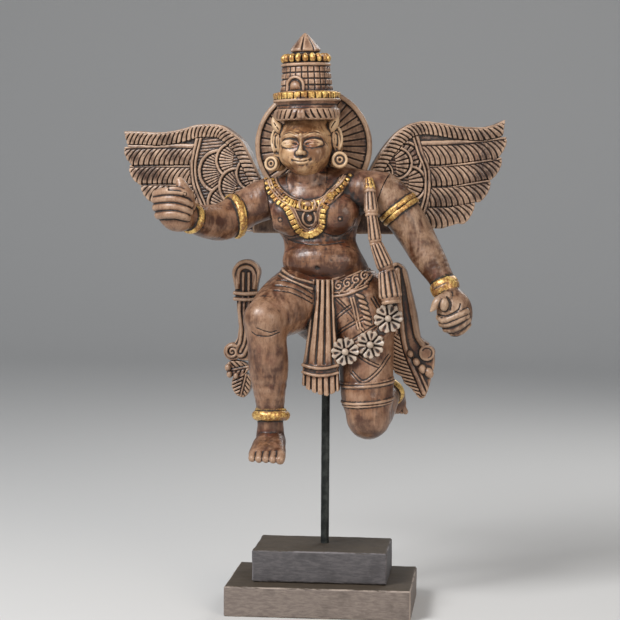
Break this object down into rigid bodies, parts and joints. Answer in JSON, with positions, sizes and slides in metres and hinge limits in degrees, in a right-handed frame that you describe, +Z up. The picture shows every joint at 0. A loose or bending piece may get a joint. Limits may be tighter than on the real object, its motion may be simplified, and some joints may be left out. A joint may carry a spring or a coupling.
{
  "type": "carved wooden winged deity statue on a stand",
  "caption": "Carved wooden winged deity with a tall crown and round halo, one knee bent and the other raised, held above a stepped wooden stand by an iron rod.",
  "frame": {"origin": "centre of the stand's underside, on the surface it stands on", "axes": "+Z up, -Y the side the figure faces, +X to the right seen from the front (the figure's own left)"},
  "size_m": [0.4216, 0.1929, 0.6099],
  "materials": {
    "carved_wood": "dark waxed wood with worn highlights and traces of gold paint",
    "wing_wood": "dark dry wood, grooves nearly black",
    "lower_wood": "weathered pale grey-brown wood with dark streaks",
    "upper_wood": "dark grey stained wood",
    "iron": "dark green-grey, dull"
  },
  "bodies": {
    "root": {"figure": "carved_wood", "right_arm": "carved_wood", "left_arm": "carved_wood", "right_wing": "wing_wood", "left_wing": "wing_wood", "right_sash": "carved_wood", "left_sash": "carved_wood", "rod": "iron", "upper_block": "upper_wood", "lower_block": "lower_wood"}
  },
  "joints": []
}
